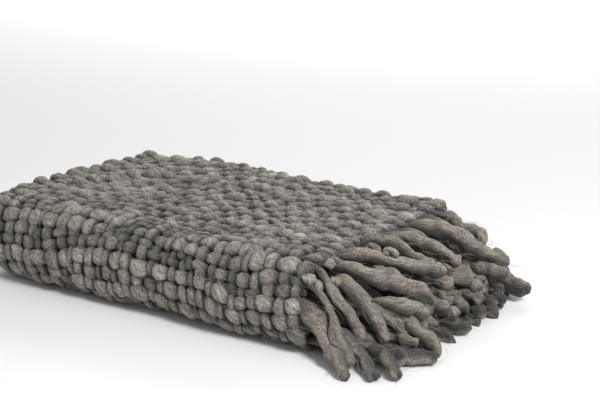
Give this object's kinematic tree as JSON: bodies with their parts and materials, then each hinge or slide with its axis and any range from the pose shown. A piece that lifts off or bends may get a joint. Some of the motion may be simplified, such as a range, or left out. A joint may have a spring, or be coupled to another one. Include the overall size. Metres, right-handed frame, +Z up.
{
  "type": "folded throw blanket",
  "caption": "Chunky plain-weave wool throw, folded in half and then in thirds into a soft stack, with thick locks of fringe at its open end.",
  "frame": {"origin": "on the floor plane, under the middle of the whole folded throw with its fringe", "axes": "+X along the folds towards the fringed open end, -Y towards the big round front fold, +Z up from the surface it rests on"},
  "size_m": [0.7984, 0.466, 0.1403],
  "materials": {
    "woven_wool": "matt felted wool roving, undyed grey-brown, plain weave",
    "fringe_wool": "matt felted wool roving in loose locks, undyed grey-brown"
  },
  "bodies": {
    "root": {"blanket": "woven_wool", "fringe_outer": "fringe_wool", "fringe_inner": "fringe_wool"}
  },
  "joints": []
}
